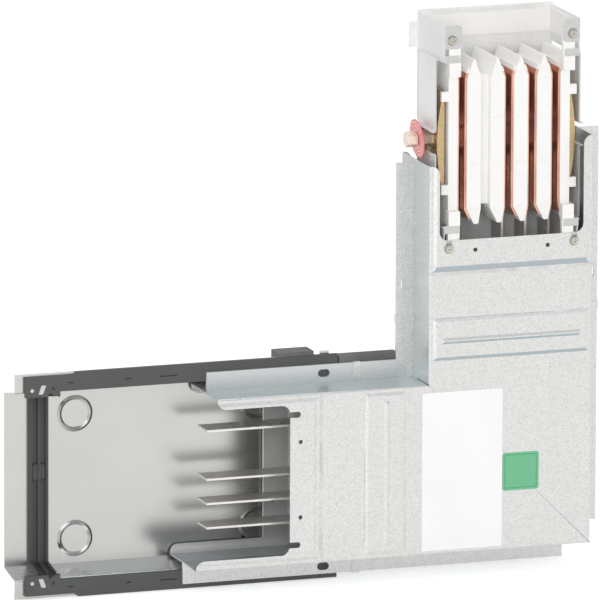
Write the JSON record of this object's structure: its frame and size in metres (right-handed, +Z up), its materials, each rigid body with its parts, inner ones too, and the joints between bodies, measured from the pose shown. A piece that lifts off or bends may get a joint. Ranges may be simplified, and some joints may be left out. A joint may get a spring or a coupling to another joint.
{
  "type": "busway elbow",
  "caption": "Right-angle elbow of bar trunking: mitred sheet-metal legs around flat bars, a bolted joint pack between insulators at one end and a rear joint cover at the other.",
  "frame": {"origin": "centre of the joint pack, on the axis of its clamp bolt", "axes": "+Z up along the riser and out of its joint, -X along the run towards its open end, -Y to the front"},
  "size_m": [0.5583, 0.084, 0.516],
  "materials": {
    "galvanised": "fine spangle",
    "bright_zinc": "bright",
    "yellow_zinc": "yellow passivated",
    "copper": "bright copper",
    "bar_metal": "plated",
    "white_plastic": "moulded",
    "support_plastic": "moulded",
    "red_plastic": "translucent",
    "black_rubber": "matte",
    "cellular_rubber": "open pored"
  },
  "bodies": {
    "elbow": {"bar_support_riser": "support_plastic", "bar_support_run": "support_plastic", "blank_spacer": "white_plastic", "bolt_sleeve": "white_plastic", "busbar_inner": "bar_metal", "busbar_outer": "bar_metal", "busbar_second": "bar_metal", "busbar_third": "bar_metal", "casing_seal_bar": "cellular_rubber", "clamp_nut": "yellow_zinc", "contact_inner_left": "copper", "contact_inner_right": "copper", "contact_outer_left": "copper", "contact_outer_right": "copper", "contact_second_left": "copper", "contact_second_right": "copper", "contact_third_left": "copper", "contact_third_right": "copper", "end_insulator_left": "white_plastic", "end_insulator_right": "white_plastic", "flange_clips": "galvanised", "frame_rear_lower": "galvanised", "frame_rear_upper": "galvanised", "frame_side_lower_left": "galvanised", "frame_side_lower_right": "galvanised", "frame_side_upper_left": "galvanised", "frame_side_upper_right": "galvanised", "front_casing_riser": "galvanised", "front_casing_run": "galvanised", "nut_washer": "yellow_zinc", "pack_band": "white_plastic", "pack_screws": "yellow_zinc", "phase_insulator_1": "white_plastic", "phase_insulator_2": "white_plastic", "phase_insulator_3": "white_plastic", "phase_insulator_4": "white_plastic", "pressure_plate_nut_side": "yellow_zinc", "rear_casing_riser": "galvanised", "rear_casing_run": "galvanised"},
    "joint_cover": {"joint_cover_shell": "bright_zinc", "cover_edge_seal_upper": "black_rubber", "cover_edge_seal_lower": "black_rubber", "cover_lip_seal_open": "black_rubber", "cover_lip_seal_casing": "black_rubber", "cover_foam_block": "cellular_rubber"},
    "clamp_plate": {"pressure_plate_bolt_side": "yellow_zinc", "bolt_washer": "yellow_zinc"},
    "clamp_bolt": {"clamp_bolt": "yellow_zinc"},
    "torque_tag": {"torque_tag": "red_plastic"}
  },
  "joints": [
    {"name": "cover_slide", "type": "slide", "parent": "elbow", "child": "joint_cover", "axis": [0, 1, 0], "range_m": [0, 0.1]},
    {"name": "plate_close", "type": "slide", "parent": "elbow", "child": "clamp_plate", "axis": [1, 0, 0], "range_m": [0, 0.00187]},
    {"name": "bolt_turn", "type": "hinge", "parent": "clamp_plate", "child": "clamp_bolt", "pos_m": [-0.07, 0, 0], "axis": [1, 0, 0], "range_deg": [0, 540]},
    {"name": "tag_spin", "type": "hinge", "parent": "clamp_bolt", "child": "torque_tag", "pos_m": [-0.07775, 0, 0], "axis": [1, 0, 0], "continuous": true}
  ],
  "couplings": [
    {"joint": "bolt_turn", "follows": "plate_close", "rad_per_m": 5026.5}
  ]
}
